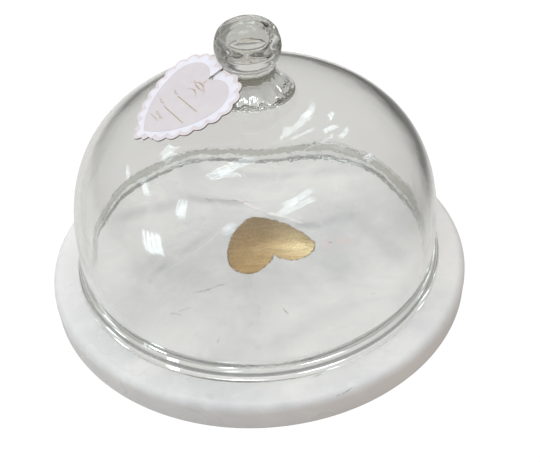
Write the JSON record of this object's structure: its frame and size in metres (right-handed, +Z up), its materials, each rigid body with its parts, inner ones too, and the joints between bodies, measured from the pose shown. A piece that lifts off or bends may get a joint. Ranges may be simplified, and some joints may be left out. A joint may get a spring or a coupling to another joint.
{
  "type": "cake stand dome",
  "caption": "Round marble cake board with a heart-shaped brass inlay, a lift-off clear glass dome with a solid knob, and a scalloped heart gift tag threaded round the knob's neck.",
  "frame": {"origin": "middle of the board on the plane that its foot pads stand on", "axes": "+Z up along the board's axis, -Y towards the viewer of the picture, +X to the viewer's right"},
  "size_m": [0.254, 0.254, 0.1654],
  "materials": {
    "marble": "polished",
    "resin": "satin",
    "brass": "brushed",
    "pad_rubber": "matte",
    "clear_glass": "polished",
    "printed_card": "matte",
    "thread_cord": "satin"
  },
  "bodies": {
    "base": {"marble_base": "marble", "inlay_resin": "resin", "brass_heart": "brass", "foot_pad_1": "pad_rubber", "foot_pad_2": "pad_rubber", "foot_pad_3": "pad_rubber", "foot_pad_4": "pad_rubber"},
    "dome": {"glass_dome": "clear_glass", "glass_knob": "clear_glass"},
    "thread": {"tag_thread": "thread_cord"},
    "tag": {"gift_tag": "printed_card", "thread_knot": "thread_cord"}
  },
  "joints": [
    {"name": "dome_lift", "type": "slide", "parent": "base", "child": "dome", "axis": [0, 0, 1], "range_m": [0, 0.25]},
    {"name": "tag_turn", "type": "hinge", "parent": "dome", "child": "thread", "pos_m": [0.0017, 0.0018, 0.1431], "axis": [0, 0, 1], "continuous": true},
    {"name": "tag_flip", "type": "hinge", "parent": "thread", "child": "tag", "pos_m": [-0.0129, -0.0034, 0.1443], "axis": [-0.4383, 0.8987, 0.0122], "range_deg": [0, 60], "deforming": ["tag_thread"]}
  ]
}
